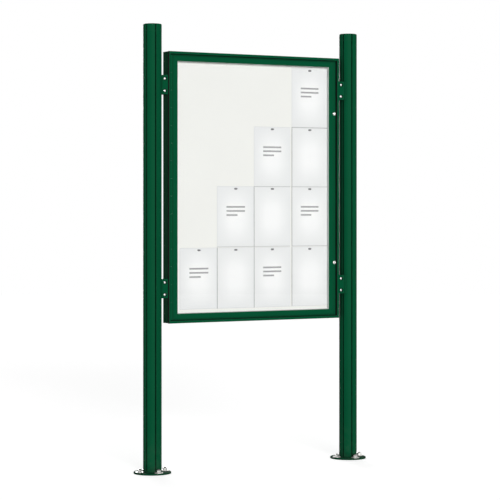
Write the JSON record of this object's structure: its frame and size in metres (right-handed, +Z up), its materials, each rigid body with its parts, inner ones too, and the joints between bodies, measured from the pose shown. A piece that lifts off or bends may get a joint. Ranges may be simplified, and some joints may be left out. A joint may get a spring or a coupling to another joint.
{
  "type": "lockable notice board",
  "caption": "Tall glazed notice board between two round fluted posts on round foot plates, with a hinged door held shut by cam locks.",
  "frame": {"origin": "on the ground, midway between the posts", "axes": "+X to the viewer's right along the board, +Y towards the rear, +Z up"},
  "size_m": [1.289, 0.18, 2.145],
  "materials": {
    "green_aluminium": "satin green powder coat on an aluminium extrusion",
    "green_steel": "satin green powder coat on steel",
    "plain_aluminium": "mill finish",
    "zinc_steel": "zinc plated",
    "stainless_steel": "plain stainless steel",
    "lock_chrome": "bright nickel",
    "white_board": "white enamelled face",
    "paper": "matt paper",
    "magnet": "matt dark coating",
    "clear_glass": "clear, polished",
    "black_rubber": "matt",
    "grey_rubber": "matt, pale grey"
  },
  "bodies": {
    "stand": {"anchor_nuts": "zinc_steel", "anchor_washers": "zinc_steel", "case_bottom": "green_aluminium", "case_corner_cleats": "plain_aluminium", "case_hinge_leaf": "green_aluminium", "case_hinge_screws": "stainless_steel", "case_left": "green_aluminium", "case_right": "green_aluminium", "case_top": "green_aluminium", "clamp_nuts": "stainless_steel", "clamp_screws": "stainless_steel", "corner_strip": "black_rubber", "display_panel": "white_board", "door_seal": "black_rubber", "hinge_pin": "stainless_steel", "left_foot_plate": "green_steel", "left_foot_spigot": "zinc_steel", "left_post": "green_aluminium", "left_post_cap": "green_aluminium", "lower_left_front_jaw": "green_aluminium", "lower_left_rear_jaw": "green_aluminium", "lower_right_front_jaw": "green_aluminium", "lower_right_rear_jaw": "green_aluminium", "lower_strike_plate": "stainless_steel", "panel_battens": "plain_aluminium", "paper_sheets": "paper", "post_grub_screws": "zinc_steel", "rear_cover": "green_aluminium", "rear_cover_rivets": "plain_aluminium", "right_foot_plate": "green_steel", "right_foot_spigot": "zinc_steel", "right_post": "green_aluminium", "right_post_cap": "green_aluminium", "sheet_magnets": "magnet", "strike_screws": "stainless_steel", "upper_left_front_jaw": "green_aluminium", "upper_left_rear_jaw": "green_aluminium", "upper_right_front_jaw": "green_aluminium", "upper_right_rear_jaw": "green_aluminium", "upper_strike_plate": "stainless_steel"},
    "door": {"door_bottom": "green_aluminium", "door_corner_cleats": "plain_aluminium", "door_hinge_leaf": "green_aluminium", "door_hinge_screws": "stainless_steel", "door_left": "green_aluminium", "door_right": "green_aluminium", "door_top": "green_aluminium", "glazing": "clear_glass", "glazing_beads": "plain_aluminium", "glazing_gasket": "grey_rubber", "lock_nuts": "lock_chrome", "lower_lock_housing": "lock_chrome", "upper_lock_housing": "lock_chrome"},
    "upper_lock": {"upper_cam_screw": "stainless_steel", "upper_lock_cam": "lock_chrome", "upper_lock_plug": "lock_chrome"},
    "lower_lock": {"lower_cam_screw": "stainless_steel", "lower_lock_cam": "lock_chrome", "lower_lock_plug": "lock_chrome"}
  },
  "joints": [
    {"name": "door_hinge", "type": "hinge", "parent": "stand", "child": "door", "pos_m": [-0.4655, -0.0245, 1.365], "axis": [0, 0, -1], "range_deg": [0, 150]},
    {"name": "upper_lock_turn", "type": "hinge", "parent": "door", "child": "upper_lock", "pos_m": [0.4605, -0.0185, 1.7385], "axis": [0, -1, 0], "range_deg": [0, 90]},
    {"name": "lower_lock_turn", "type": "hinge", "parent": "door", "child": "lower_lock", "pos_m": [0.4605, -0.0185, 0.9915], "axis": [0, -1, 0], "range_deg": [0, 90]}
  ]
}
